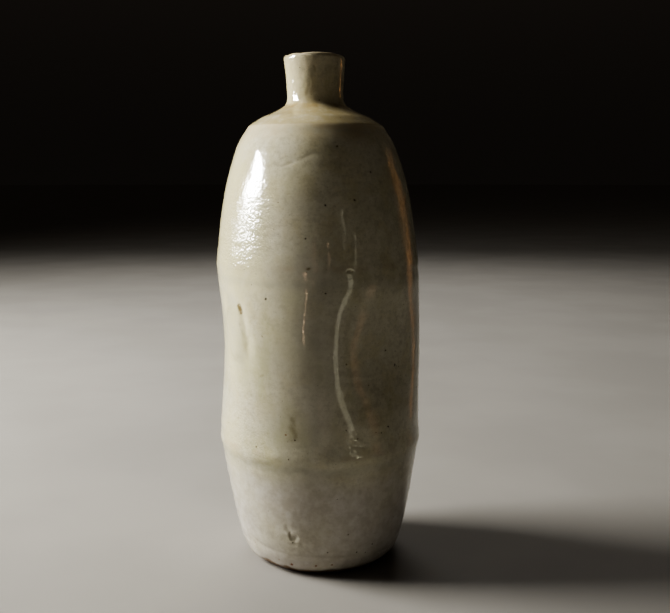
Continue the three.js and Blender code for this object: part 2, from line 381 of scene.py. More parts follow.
# the lip rises and falls a little, and the foot ring is worn uneven but still flat where it stands
wave = (0.55 * round_noise(A, 52, 22) + 0.22 * round_noise(A, 14, 23) + 0.22 * np.exp(-0.5 * ((A - 15) / 14) ** 2)
        - 0.22 * np.exp(-0.5 * ((A + 29) / 14) ** 2))
P1[..., 2] += np.where(R < 16, smooth(208, 224.5, Z), 0) * (wave - 0.30)
P1[..., 2] = np.maximum(P1[..., 2], 0.0)
P1[..., 2] = np.minimum(P1[..., 2], 225.0)
POINT = P1
NORMAL = normals(POINT)

# ---- stains, pooling, specks and painted shade by the fold, carried on the mesh ---
pool = np.clip(smooth(176, 200, Z) * 0.75 + 0.50 * bell(Z - 201.5, 1.8) * (R > 12) + 0.14 * bell(Z - 192.0, 2.6), 0, 1)
pool = np.where(Z > 203.5, 0.16 + 0.40 * np.exp(-(Z - 203.5) / 1.6) + 0.30 * smooth(222.5, 224.6, Z) + 0.35 * noise(P, 7, 38), pool)
pool = pool + 0.30 * noise(P, 15, 30) * smooth(140, 175, Z)
green = 0.55 * spot(-30, 80, 12, 26) + 0.25 * spot(-24, 58, 14, 9) + 0.35 * spot(-27, 111, 8, 10) + 0.3 * spot(-10, 124, 6, 4)
green = green + 0.45 * spot(75, 70, 14, 20) + 0.4 * spot(-150, 82, 12, 22) + 0.35 * spot(150, 60, 14, 10) + 0.25 * noise(P, 18, 31) * smooth(48, 70, Z)
# the slip is yellower on the left of the body, greyer on the crest between the hollows
tint = np.clip(patch(-66, 152, 26, 42) + 0.45 * patch(-58, 92, 22, 30) + 0.7 * patch(150, 150, 40, 30) + 0.6 * noise(P, 24, 43), 0, 1.2) * outside
cool = np.clip(patch(-10, 100, 15, 44) + 0.7 * patch(110, 110, 26, 50) + 0.5 * noise(P, 21, 44), 0, 1.1) * outside * smooth(200, 185, Z)
warm = (1 - smooth(34, 60, Z)) * (0.75 + 0.6 * noise(P, 22, 32))
# real stains and iron marks, plus painted shade: a dark line down the pinched fold and in the small wrinkles beside it
stain_and_shade = (1.15 * stroke([(-47.3, 120.0), (-46.2, 117.6), (-44.6, 115.4)], 0.85, 0.5, taper=3)
         + 0.50 * stroke([(-13.6, 77.5), (-13.9, 70.6), (-13.2, 62.5)], 1.9, 1.6)
         + 0.40 * stroke([(-33.0, 89.7), (-28.5, 91.8)], 0.7, 0.9)
         # painted shade in the small wrinkles by the fold
         + 0.34 * stroke([(-46.8, 112.0), (-45.2, 110.2)], 0.5, 0.5) + 0.26 * stroke([(-45.2, 108.8), (-43.9, 107.4)], 0.45, 0.5)
         # painted shade along the pinched fold
         + 0.09 * stroke([(a - 0.6, z) for a, z in FOLD[1:4]], 0.7, 0.6, taper=1.0)
         + 0.80 * stroke([(14.4, 134.5), (16.8, 134.9), (19.6, 134.4)], 0.28, 0.3) + 0.8 * stroke([(-6.2, 135.7), (-2.8, 136.2)], 0.4, 0.3)
         + 0.30 * stroke([(-27, 177.2), (-21.5, 176.6), (-17.7, 177.4)], 0.6, 0.9)
         + 0.25 * stroke([(-11.4, 178.9), (-2.3, 181.6), (6.1, 182.2)], 0.9, 0.9)
         + 0.30 * stroke([(-52.3, 14.2), (-44.2, 12.4), (-33.9, 11.3), (-24.5, 11.1), (-10, 10.8), (6, 10.4), (24, 10.5)], 0.8, 0.5)
         + 0.50 * stroke([(-20.0, 22.6), (-20.4, 20.0), (-19.4, 17.2)], 0.5, 0.5) + 0.22 * spot(-17.2, 19.4, 1.0, 1.3) + 0.30 * spot(-13.4, 16.9, 0.8, 0.6) + 0.25 * spot(-21.7, 5.3, 1.2, 1.0)
         + 0.22 * spot(-10, 32, 2.4, 1.6)
         + 0.7 * stroke([(128, 96), (129.5, 91), (129, 87.5)], 0.7, 0.9) + 0.45 * stroke([(-118, 70), (-116.5, 62)], 1.0, 1.0)
         + 0.5 * stroke([(82, 150), (83, 145.5)], 0.7, 0.8) + 0.45 * stroke([(101, 133.6), (106.5, 134.3)], 0.45, 0.3)
         + 0.45 * stroke([(-134, 134.2), (-127, 133.6)], 0.45, 0.3) + 0.3 * spot(160, 24, 3, 2)
         + 0.35 * stroke([(-1.7, 219.8), (0.6, 218.2), (1.5, 216.0)], 0.4, 0.4) * (R < 16)
         + 0.25 * stroke([(-9.6, 213.0), (-11.6, 210.6), (-15.0, 208.6), (-17.6, 206.6)], 0.4, 0.4) * (R < 16))
# glaze pulls thin over raised edges and gathers below them; the greyer band beside the pinched fold is painted shade of
# its dent
thin = 0.75 * bell(Z - ridge_z - 0.8, 1.5) * outside + 0.65 * bell(Z - ledge_z - 3.0, 1.4) * outside
thin = thin * np.clip(0.55 + 1.3 * noise(P, 8, 33), 0, 1.2) + 0.9 * smooth(223.4, 224.8, Z) * (R < 14)
gather_and_shade = 0.8 * bell(Z - ridge_z + 5.5, 1.8) * outside + 0.65 * bell(Z - ledge_z + 3.4, 1.5) * outside + 0.6 * bell(Z - cap_z + 2.6, 1.3) * (R > 25) * outside
# painted shade: a greyer band left of the pinched fold, where the dent falls into shade
gather_and_shade = gather_and_shade + 1.0 * stroke([(a - 8.5, z) for a, z in [(-49.5, 124.0)] + FOLD + [(-41.0, 88.0)]], 3.6, 0.8, taper=1.0)
bare_edge = 1.9 + 1.5 * round_noise(A, 14, 34) + 0.9 * round_noise(A, 5, 35)
bare = np.where(outside, 1 - smooth(-1.1, 1.3, Z - bare_edge), np.where(under, 1.0, 0.0))
bare = np.clip(bare + 0.8 * spot(-45.0, 3.2, 1.7, 0.9) + 0.7 * spot(-27.0, 3.0, 0.9, 0.7) + 0.8 * spot(61.0, 2.8, 1.6, 0.9), 0, 1)

MARKS = [  # (angle, z, radius mm, tone): tone 0 dark brown, 0.35 grey, 0.65 olive, 1 rust
    (14.1, 184.8, .55, .65), (35.4, 174.4, .55, 0), (21.9, 163.1, .50, 0), (4.9, 161.3, .50, 0), (-6.1, 147.6, .50, .35),
    (-22.2, 162.0, .30, 0), (-42.3, 134.6, .32, 0), (-27.8, 123.1, .62, .35), (4.0, 126.2, .45, 0),
    (51.0, 92.3, .70, 0), (43.9, 99.7, .50, 0), (15.4, 95.8, .50, .65), (29.7, 86.0, .45, .65), (40.3, 67.7, .58, 0),
    (35.1, 65.4, .38, 0), (31.6, 65.9, .36, 0), (-13.2, 64.7, .50, 0), (-18.0, 66.7, .45, 1), (-36.3, 59.6, .45, 0),
    (-50.8, 70.1, .32, 0), (-61.8, 65.8, .30, 0), (-16.7, 56.0, .45, 0), (14.1, 68.5, .36, 0), (20.4, 64.4, .36, 0),
    (-18.3, 17.2, .40, 0), (-21.7, 5.3, .75, 1), (-4.0, 5.8, .60, 1), (7.3, 6.3, .50, 1),
    (4.1, 12.6, .36, 0), (24.0, 11.2, .40, 0), (31.1, 10.2, .36, 0), (35.8, 13.9, .36, 0), (16.9, 20.9, .36, 0),
    (-28.9, 218.6, .30, 0), (7.2, 204.7, .30, .65),
]
rng = np.random.default_rng(20)
placed = [(a, z) for a, z, _, _ in MARKS]
for count, zlo, zhi, alo, ahi, small, big in (
        (70, 52, 92, -85, 2, .07, .17), (70, 50, 128, 45, 290, .12, .34), (26, 96, 128, -80, 45, .10, .22),
        (60, 128, 192, -180, 180, .10, .26), (40, 10, 50, -180, 180, .10, .28), (12, 194, 201, -180, 180, .10, .22),
        (8, 205, 222, -180, 180, .10, .20), (22, 3, 8, -180, 180, .20, .50)):
    tries = 0
    while count and tries < 6000:
        tries += 1
        a, z = rng.uniform(alo, ahi), rng.uniform(zlo, zhi)
        r = np.interp(z, outz, outr)
        if all(math.hypot(((a - b + 180) % 360 - 180) * math.pi / 180 * r, z - y) > 1.9 for b, y in placed):
            placed.append((a, z))
            size = small + (big - small) * rng.random() ** 2.2
            tone = rng.choice([0, 0.35, 0.65, 1.0], p=[.55, .25, .15, .05] if z > 8 else [.25, .05, .05, .65])
            MARKS.append((a, z, size, float(tone)))
            count -= 1


def at(angle, z):
    """The finished wall's point nearest to (angle, z)."""
    i = OUT[0] + int(np.argmin(np.abs(ROW_Z[OUT[0]:OUT[6] + 1] - z)))
    j = ((angle - FIRST_ANGLE) % 360) / 360 * COLUMNS
    j0 = int(j) % COLUMNS
    f = j - int(j)
    return POINT[i, j0] * (1 - f) + POINT[i, (j0 + 1) % COLUMNS] * f


mark_points = np.array([at(a, z) for a, z, _, _ in MARKS])
tree = kdtree.KDTree(len(MARKS))
for k, p in enumerate(mark_points):
    tree.insert(Vector(p), k)
tree.balance()
nearest = np.zeros(A.shape, int)
flat = POINT.reshape(-1, 3)
near_flat = nearest.reshape(-1)
for k in np.flatnonzero(outside.reshape(-1)):
    near_flat[k] = tree.find(Vector(flat[k]))[1]
MARK_AT = mark_points[nearest] * 0.001
MARK_SIZE = 0.82 * np.array([m[2] for m in MARKS])[nearest]
# the size is 0 away from a mark, so nothing shows where the nearest mark changes
reach = np.linalg.norm(POINT - mark_points[nearest], axis=-1)
MARK_SIZE = np.where(outside & (reach < 2.7 * MARK_SIZE + 0.75), MARK_SIZE, 0.0)
MARK_TONE = np.array([m[3] for m in MARKS])[nearest]

ring_gold = 0.85 * bell(Z - 202.3, 0.8) * (R > 12.4) * (R < 18) * np.clip(0.75 + 0.9 * round_noise(A, 12, 36), 0.1, 1)
ring_gold = ring_gold + 0.40 * bell(Z - 199.4, 0.5) * (R > 16) * outside * np.clip(0.5 + 1.2 * round_noise(A, 16, 37), 0, 1)
FIELDS = {"ring": ring_gold, "tint": tint, "cool": cool, "pebble": pebble, "pool": pool, "green": green, "warm": warm, "stain_and_shade": stain_and_shade, "thin": thin, "gather_and_shade": gather_and_shade, "bare": bare,
          "mark_size": MARK_SIZE, "mark_tone": MARK_TONE}


# ---- meshes -------------------------------------------------------------------
def make_piece(name, outer_rows, inner_rows, joints, material, under_rows=None):
    """Builds one closed section. outer_rows and inner_rows are (first, last) row numbers; joints are pairs of
    rows that a flat or bevelled joint face connects."""
    used = []
    strips = []   # (row a, row b, kind) with faces wound outwards
    for first, last, kind in ([(under_rows[0], under_rows[1], "under")] if under_rows else []) + [(outer_rows[0], outer_rows[1], "outer")]:
        strips += [(i, i + 1, kind) for i in range(first, last)]
    strips += [(i, i + 1, "inner") for i in range(inner_rows[0], inner_rows[1])]
    strips += [(a, b, "joint") for a, b in joints]
    rows_used = sorted({r for s in strips for r in s[:2]})
    local = {r: k for k, r in enumerate(rows_used)}
    verts = POINT[rows_used].reshape(-1, 3) * 0.001
    j = np.arange(COLUMNS)
    k = (j + 1) % COLUMNS
    faces, face_uv, kinds, src = [], [], [], []
    half = COLUMNS // 2
    spans = {}
    for kind in ("under", "outer", "inner", "joint"):
        sel = [s for s in strips if s[2] == kind]
        if sel:
            spans[kind] = (sel, len(sel))
    arc = np.concatenate([[0], np.cumsum(np.linalg.norm(np.diff(np.stack([ROW_R, ROW_Z], 1), axis=0), axis=1))])
    slab = under_rows is not None
    for kind, (sel, count) in spans.items():
        lo, hi = arc[sel[0][0]], arc[sel[-1][1]]
        for number, (a, b, _) in enumerate(sel):
            quad = np.stack([local[a] * COLUMNS + j, local[a] * COLUMNS + k, local[b] * COLUMNS + k, local[b] * COLUMNS + j], 1)
            faces.append(quad)
            src.append(np.stack([a * COLUMNS + j, a * COLUMNS + k, b * COLUMNS + k, b * COLUMNS + j], 1))
            kinds += [kind] * COLUMNS
            if kind == "outer":
                u0 = 0.006 + 0.988 * (j % half) / half
                u1 = 0.006 + 0.988 * ((j % half) + 1) / half
                top = 0.17 if slab else 0.395
                gap = 0.18 if slab else 0.405
                base_v = np.where(j < half, 0.006, gap)
                va = base_v + (top - 0.006) * (arc[a] - lo) / (hi - lo)
                vb = base_v + (top - 0.006) * (arc[b] - lo) / (hi - lo)
                uv = np.stack([u0, va, u1, va, u1, vb, u0, vb], 1).reshape(-1, 4, 2)
            elif kind == "under" or (kind == "inner" and slab):
                cx, size, cy = (0.31, 0.295, 0.67) if kind == "under" else (0.80, 0.18, 0.80)
                big = max(ROW_R[s[0]] for s in sel)
                big = max(big, ROW_R[sel[-1][1]])
                s_, c_ = SIN[0], COS[0]
                pts = []
                for row, col in ((a, j), (a, k), (b, k), (b, j)):
                    rr = ROW_R[row] / big * size
                    pts.append(np.stack([cx + rr * s_[col], cy - rr * c_[col]], 1))
                uv = np.stack(pts, 1)
            elif kind == "inner":
                u0, u1 = 0.006 + 0.988 * j / COLUMNS, 0.006 + 0.988 * (j + 1) / COLUMNS
                va = np.full(COLUMNS, 0.815 + 0.13 * (arc[a] - lo) / (hi - lo))
                vb = np.full(COLUMNS, 0.815 + 0.13 * (arc[b] - lo) / (hi - lo))
                uv = np.stack([u0, va, u1, va, u1, vb, u0, vb], 1).reshape(-1, 4, 2)
            else:
                u0, u1 = 0.006 + 0.988 * j / COLUMNS, 0.006 + 0.988 * (j + 1) / COLUMNS
                v0 = 0.951 + 0.022 * number if not slab else 0.365
                if slab:
                    u0, u1 = 0.64 + 0.35 * j / COLUMNS, 0.64 + 0.35 * (j + 1) / COLUMNS
                va, vb = np.full(COLUMNS, v0), np.full(COLUMNS, v0 + 0.019)
                uv = np.stack([u0, va, u1, va, u1, vb, u0, vb], 1).reshape(-1, 4, 2)
            face_uv.append(uv)
    faces = np.concatenate(faces)
    src = np.concatenate(src)
    face_uv = np.concatenate(face_uv)
    kinds = np.array(kinds)
    extra = []
    if slab:   # close the two small holes on the axis
        for row, flip in ((under_rows[0], True), (inner_rows[1], False)):
            ring = local[row] * COLUMNS + j
            extra.append((ring[::-1] if flip else ring, row))
    nv = len(verts)
    mesh = bpy.data.meshes.new(name)
    loops = faces.reshape(-1).tolist()
    starts = (np.arange(len(faces)) * 4).tolist()
    totals = [4] * len(faces)
    loop_n = NORMAL.reshape(-1, 3)[src.reshape(-1)]
    flat_joint = np.repeat(kinds == "joint", 4)
    uv_all = face_uv.reshape(-1, 2)
    for ring, row in extra:
        starts.append(len(loops))
        totals.append(COLUMNS)
        loops += ring.tolist()
        up = -1.0 if row == under_rows[0] else 1.0
        loop_n = np.concatenate([loop_n, np.tile([0, 0, up], (COLUMNS, 1))])
        flat_joint = np.concatenate([flat_joint, np.zeros(COLUMNS, bool)])
        cx, cy, rad = (0.31, 0.67, 0.003) if row == under_rows[0] else (0.80, 0.80, 0.002)
        cols = ring - local[row] * COLUMNS
        uv_all = np.concatenate([uv_all, np.stack([cx + rad * SIN[0][cols], cy - rad * COS[0][cols]], 1)])
    mesh.vertices.add(nv)
    mesh.vertices.foreach_set("co", verts.reshape(-1))
    mesh.loops.add(len(loops))
    mesh.loops.foreach_set("vertex_index", loops)
    mesh.polygons.add(len(starts))
    mesh.polygons.foreach_set("loop_start", starts)
    mesh.polygons.foreach_set("use_smooth", [True] * len(starts))
    mesh.update(calc_edges=True)
    mesh.validate()
    layer = mesh.uv_layers.new(name="OFBake")
    layer.data.foreach_set("uv", uv_all.reshape(-1))
    # shading normals: the skin's own, so the joints don't show, and flat ones on the joint faces
    polygon_n = np.zeros(len(mesh.polygons) * 3)
    mesh.polygons.foreach_get("normal", polygon_n)
    polygon_n = np.repeat(polygon_n.reshape(-1, 3)[:len(faces)], 4, axis=0)
    loop_n[:len(polygon_n)][flat_joint[:len(polygon_n)]] = polygon_n[flat_joint[:len(polygon_n)]]
    mesh.normals_split_custom_set([tuple(n) for n in loop_n])
    for field, values in FIELDS.items():
        att = mesh.attributes.new(field, "FLOAT", "POINT")
        att.data.foreach_set("value", np.ascontiguousarray(values[rows_used].reshape(-1), dtype=np.float32))
    att = mesh.attributes.new("mark_at", "FLOAT_VECTOR", "POINT")
    att.data.foreach_set("vector", np.ascontiguousarray(MARK_AT[rows_used].reshape(-1), dtype=np.float32))
    mesh.materials.append(material)
    obj = bpy.data.objects.new(name, mesh)
    bpy.context.scene.collection.objects.link(obj)
    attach(obj, "root")
    return obj


# ---- materials ------------------------------------------------------------------
class Nodes:
    """Shorthand for building a node tree."""

    def __init__(self, name):
        self.material = bpy.data.materials.new(name)
        self.material.use_nodes = True
        self.tree = self.material.node_tree
        self.tree.nodes.clear()

    def new(self, kind, **settings):
        node = self.tree.nodes.new(kind)
        for key, value in settings.items():
            setattr(node, key, value)
        return node

    def put(self, socket, value):
        if isinstance(value, bpy.types.NodeSocket):
            self.tree.links.new(value, socket)
        else:
            socket.default_value = value

    def math(self, op, a, b=None, c=None, clamp=False):
        node = self.new("ShaderNodeMath", operation=op, use_clamp=clamp)
        for socket, value in zip(node.inputs, (a, b, c)):
            if value is not None:
                self.put(socket, value)
        return node.outputs[0]

    def mix(self, factor, a, b, blend="MIX"):
        node = self.new("ShaderNodeMix", data_type="RGBA", blend_type=blend, clamp_factor=True)
        self.put(node.inputs[0], factor)
        self.put(node.inputs[6], (*a, 1) if isinstance(a, tuple) else a)
        self.put(node.inputs[7], (*b, 1) if isinstance(b, tuple) else b)
        return node.outputs[2]

    def ramp(self, value, lo, hi, a=0.0, b=1.0):
        node = self.new("ShaderNodeMapRange", interpolation_type="SMOOTHSTEP", clamp=True)
        for key, v in zip(("Value", "From Min", "From Max", "To Min", "To Max"), (value, lo, hi, a, b)):
            self.put(node.inputs[key], v)
        return node.outputs[0]

    def field(self, name, output="Fac"):
        node = self.new("ShaderNodeAttribute", attribute_name=name, attribute_type="GEOMETRY")
        return node.outputs[output]

    def noise(self, vector, scale, detail=2.0, rough=0.5, distortion=0.0):
        node = self.new("ShaderNodeTexNoise", noise_dimensions="3D")
        self.put(node.inputs["Vector"], vector)
        for key, v in (("Scale", scale), ("Detail", detail), ("Roughness", rough), ("Distortion", distortion)):
            node.inputs[key].default_value = v
        return node.outputs[0]

    def cells(self, vector, scale, feature="F1", randomness=1.0):
        node = self.new("ShaderNodeTexVoronoi", feature=feature)
        self.put(node.inputs["Vector"], vector)
        node.inputs["Scale"].default_value = scale
        node.inputs["Randomness"].default_value = randomness
        return node


def glaze(name, ivory, cloud, straw, rough=0.05):
    """White slip under a clear glaze that has run, pooled and picked up iron specks."""
    m = Nodes(name)
    p = m.new("ShaderNodeTexCoord").outputs["Object"]
    scale = m.new("ShaderNodeVectorMath", operation="MULTIPLY")
    m.put(scale.inputs[0], p)
    scale.inputs[1].default_value = (1.0, 1.0, 2.6)
    drawn = scale.outputs[0]                     # noise drawn out round the pot, as brushed slip is

    runs = m.new("ShaderNodeVectorMath", operation="MULTIPLY")
    m.put(runs.inputs[0], p)
    runs.inputs[1].default_value = (1.0, 1.0, 0.32)
    big = m.noise(p, 34, 3, 0.55)
    mid = m.noise(p, 95, 4, 0.55)
    patch = m.noise(p, 210, 5, 0.62)
    brush = m.noise(drawn, 150, 3, 0.55)
    run = m.noise(runs.outputs[0], 150, 4, 0.6)
    fine = m.noise(p, 620, 3, 0.6)
    grain = m.noise(p, 1500, 2, 0.6)

    colour = m.mix(m.ramp(big, 0.36, 0.64), ivory, cloud)
    colour = m.mix(m.ramp(mid, 0.46, 0.66, 0, 0.75), colour, (0.615, 0.560, 0.375))      # straw clouds
    colour = m.mix(m.ramp(run, 0.50, 0.70, 0, 0.50), colour, (0.545, 0.515, 0.335))      # thin olive runs
    colour = m.mix(m.ramp(patch, 0.50, 0.68, 0, 0.55), colour, (0.465, 0.430, 0.310))    # small duller patches
    colour = m.mix(m.ramp(patch, 0.46, 0.30, 0, 0.45), colour, (0.735, 0.700, 0.590))    # and whiter ones
    colour = m.mix(m.ramp(brush, 0.50, 0.72, 0, 0.30), colour, (0.475, 0.435, 0.320))
    colour = m.mix(m.ramp(fine, 0.52, 0.72, 0, 0.46), colour, (0.440, 0.400, 0.290))
    colour = m.mix(m.ramp(fine, 0.46, 0.28, 0, 0.30), colour, (0.760, 0.725, 0.620))
    colour = m.mix(m.ramp(grain, 0.53, 0.76, 0, 0.36), colour, (0.380, 0.335, 0.230))
    colour = m.mix(m.math("MULTIPLY", m.ramp(m.field("tint"), 0.0, 1.0), m.ramp(patch, 0.30, 0.60, 0.50, 0.85)), colour, (0.685, 0.640, 0.400))
    colour = m.mix(m.ramp(m.field("cool"), 0.0, 1.0, 0, 0.55), colour, (0.565, 0.540, 0.465))
    # warm, pinker slip low down; green where the glaze is thick; straw where it pooled
    lower = m.mix(m.ramp(patch, 0.36, 0.62), (0.640, 0.608, 0.578), (0.550, 0.508, 0.462))
    colour = m.mix(m.ramp(m.field("warm"), 0.0, 1.0, 0, 0.72), colour, lower)
    green = m.math("MULTIPLY", m.ramp(m.field("green"), 0.08, 0.85), m.ramp(run, 0.34, 0.62, 0.35, 1.0))
    colour = m.mix(m.math("MULTIPLY", green, 0.72), colour, (0.515, 0.500, 0.300))
    straw_mask = m.math("MULTIPLY", m.ramp(m.field("pool"), 0.08, 0.95), m.ramp(patch, 0.34, 0.60, 0.45, 1.0))
    colour = m.mix(straw_mask, colour, straw)
    colour = m.mix(m.math("MULTIPLY", m.field("ring"), m.ramp(fine, 0.32, 0.60, 0.35, 0.9)), colour, (0.375, 0.285, 0.135))
    # greyer where the glaze gathers below edges, and painted shade beside the pinched fold
    colour = m.mix(m.math("MULTIPLY", m.ramp(m.field("gather_and_shade"), 0.1, 0.9), m.ramp(mid, 0.35, 0.6, 0.14, 0.34)), colour, (0.42, 0.41, 0.34))
    colour = m.mix(m.math("MULTIPLY", m.ramp(m.field("thin"), 0.2, 1.0), 0.40), colour, (0.50, 0.40, 0.28))

    # iron specks scattered in the clay, each cell's own size and strength
    warped = m.new("ShaderNodeVectorMath", operation="ADD")
    m.put(warped.inputs[0], p)
    wob = m.new("ShaderNodeTexNoise", noise_dimensions="3D")
    m.put(wob.inputs["Vector"], p)
    wob.inputs["Scale"].default_value = 1100
    wob.inputs["Detail"].default_value = 1
    centred = m.new("ShaderNodeVectorMath", operation="SUBTRACT")
    m.put(centred.inputs[0], wob.outputs["Color"])
    centred.inputs[1].default_value = (0.5, 0.5, 0.5)
    scaled = m.new("ShaderNodeVectorMath", operation="SCALE")
    m.put(scaled.inputs[0], centred.outputs[0])
    scaled.inputs["Scale"].default_value = 0.00075
    m.put(warped.inputs[1], scaled.outputs[0])
    specks = None
    for cell_scale, keep, size, strength in ((430, 0.955, 0.105, 0.42), (230, 0.965, 0.055, 0.46)):
        cell = m.cells(warped.outputs[0], cell_scale)
        pick = m.new("ShaderNodeSeparateColor")
        m.put(pick.inputs[0], cell.outputs["Color"])
        chosen = m.ramp(pick.outputs[0], keep, keep + 0.02)
        radius = m.math("MULTIPLY_ADD", pick.outputs[1], size, size * 0.5)
        inside_cell = m.math("LESS_THAN", cell.outputs["Distance"], radius)
        soft = m.ramp(m.math("DIVIDE", cell.outputs["Distance"], radius), 1.0, 0.55)
        one = m.math("MULTIPLY", m.math("MULTIPLY", soft, chosen), strength)
        specks = one if specks is None else m.math("MAXIMUM", specks, one)
    colour = m.mix(specks, colour, (0.115, 0.085, 0.045))

    # the larger marks
    gap = m.new("ShaderNodeVectorMath", operation="DISTANCE")
    m.put(gap.inputs[0], warped.outputs[0])
    m.put(gap.inputs[1], m.field("mark_at", "Vector"))
    near = m.math("DIVIDE", m.math("MULTIPLY", gap.outputs["Value"], 1000.0), m.math("MAXIMUM", m.field("mark_size"), 0.01))
    mark = m.ramp(near, 1.20, 0.50)
    halo = m.ramp(near, 2.4, 0.9)
    tone = m.new("ShaderNodeValToRGB")
    tone.color_ramp.elements[0].color = (0.050, 0.032, 0.018, 1)
    tone.color_ramp.elements[1].color = (0.26, 0.075, 0.022, 1)
    for position, c in ((0.35, (0.075, 0.068, 0.060, 1)), (0.65, (0.17, 0.135, 0.045, 1))):
        tone.color_ramp.elements.new(position).color = c
    m.put(tone.inputs[0], m.field("mark_tone"))
    colour = m.mix(m.math("MULTIPLY", halo, 0.22), colour, (0.36, 0.29, 0.17))
    colour = m.mix(m.math("MULTIPLY", mark, 0.84), colour, tone.outputs[0])
    # stains, with the painted shade along the pinched fold and its wrinkles
    stain_and_shade_mask = m.math("MULTIPLY", m.ramp(m.field("stain_and_shade"), 0.05, 0.95), m.ramp(fine, 0.30, 0.62, 0.62, 1.0))
    colour = m.mix(stain_and_shade_mask, colour, (0.205, 0.155, 0.062))

    # bare, burnt clay where the glaze was wiped off
    clay_noise = m.noise(p, 260, 4, 0.7)
    clay = m.mix(m.ramp(clay_noise, 0.32, 0.70), (0.33, 0.235, 0.155), (0.225, 0.135, 0.080))
    clay = m.mix(m.ramp(m.noise(p, 1100, 2, 0.6), 0.50, 0.72, 0, 0.6), clay, (0.42, 0.34, 0.26))
    torn = m.math("MULTIPLY", m.ramp(m.noise(p, 520, 3, 0.6), 0.3, 0.7, -0.35, 0.35), m.ramp(m.field("bare"), 0.0, 0.3))
    ragged = m.math("ADD", m.field("bare"), torn)
    bare = m.ramp(ragged, 0.35, 0.65)
    scorch = m.math("MULTIPLY", m.ramp(ragged, 0.04, 0.42), m.ramp(ragged, 0.80, 0.46))
    colour = m.mix(m.math("MULTIPLY", scorch, 0.65), colour, (0.34, 0.205, 0.115))
    colour = m.mix(bare, colour, clay)

    # roughness: wet gloss, duller where the glaze is thin, matt on bare clay
    gloss = m.ramp(m.noise(p, 48, 3, 0.6), 0.35, 0.70, rough, rough + 0.035)
    gloss = m.math("ADD", gloss, m.ramp(fine, 0.45, 0.75, 0.0, 0.02))
    gloss = m.math("ADD", gloss, m.ramp(m.field("warm"), 0.2, 1.0, 0.0, 0.10))
    gloss = m.math("MAXIMUM", gloss, m.math("MULTIPLY", specks, 0.5))
    gloss = m.math("MULTIPLY_ADD", bare, 0.55, gloss, clamp=True)

    # bump: orange peel, pinholes and the pits at specks
    peel = m.math("MULTIPLY", m.noise(p, 860, 2, 0.5), m.ramp(bare, 0.0, 1.0, 1.0, 0.3))
    pin = m.cells(p, 640)
    pin_pick = m.new("ShaderNodeSeparateColor")
    m.put(pin_pick.inputs[0], pin.outputs["Color"])
    pinhole = m.math("MULTIPLY", m.ramp(pin.outputs["Distance"], 0.26, 0.05), m.ramp(pin_pick.outputs[0], 0.90, 0.93))
    height = m.math("MULTIPLY", peel, m.math("MULTIPLY", m.field("pebble"), 5.0))
    pits = m.cells(p, 900)
    pit = m.ramp(pits.outputs["Distance"], 0.50, 0.12)
    height = m.math("SUBTRACT", height, m.math("MULTIPLY", pit, m.ramp(m.field("pebble"), 0.45, 2.0, 0.0, 2.4)))
    height = m.math("ADD", height, m.math("MULTIPLY", m.noise(p, 240, 2, 0.5), 0.55))
    height = m.math("SUBTRACT", height, m.math("MULTIPLY", pinhole, 1.1))
    height = m.math("SUBTRACT", height, m.math("MULTIPLY", specks, 0.9))
    height = m.math("SUBTRACT", height, m.math("MULTIPLY", mark, 1.4))
    height = m.math("ADD", height, m.math("MULTIPLY", m.math("MULTIPLY", clay_noise, bare), 3.0))
    bump = m.new("ShaderNodeBump")
    bump.inputs["Strength"].default_value = 1.0
    bump.inputs["Distance"].default_value = 0.000030
    m.put(bump.inputs["Height"], height)

    shader = m.new("ShaderNodeBsdfPrincipled")
    m.put(shader.inputs["Base Color"], colour)
    m.put(shader.inputs["Roughness"], gloss)
    m.put(shader.inputs["Normal"], bump.outputs[0])
    shader.inputs["IOR"].default_value = 1.52
    out = m.new("ShaderNodeOutputMaterial")
    m.put(out.inputs[0], shader.outputs[0])
    return m.material


white = glaze("white_glaze", (0.680, 0.642, 0.505), (0.615, 0.585, 0.450), (0.65, 0.560, 0.375))
amber = glaze("amber_glaze", (0.650, 0.592, 0.445), (0.580, 0.528, 0.380), (0.515, 0.435, 0.255), rough=0.06)
foot = glaze("foot_clay", (0.600, 0.560, 0.475), (0.540, 0.505, 0.420), (0.54, 0.47, 0.34), rough=0.14)

pieces = [
    make_piece("foot_slab_fired", (OUT[0] - 1, OUT[1]), (IN[6], ROWS - 1), [(OUT[1], IN[6])], foot, under_rows=(0, OUT[0] - 1)),
    make_piece("lower_wall_fired", (OUT[1], OUT[2]), (IN[5], IN[6]), [(OUT[2], IN[5]), (IN[6], OUT[1])], white),
    make_piece("hollowed_waist_fired", (OUT[2], OUT[3]), (IN[4], IN[5]), [(OUT[3], IN[4]), (IN[5], OUT[2])], white),
    make_piece("upper_wall_fired", (OUT[3], OUT[4]), (IN[3], IN[4]), [(OUT[4], IN[3]), (IN[4], OUT[3])], white),
    make_piece("shoulder_cap_fired", (OUT[4], OUT[5]), (IN[2], IN[3]), [(OUT[5], IN[2]), (IN[3], OUT[4])], amber),
    make_piece("neck_fired", (OUT[5], OUT[6]), (IN[0], IN[2]), [(IN[2], OUT[5])], amber),
]
for piece, node in zip(pieces, ("foot_slab", "lower_wall", "hollowed_waist", "upper_wall", "shoulder_cap", "neck")):
    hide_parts(node)

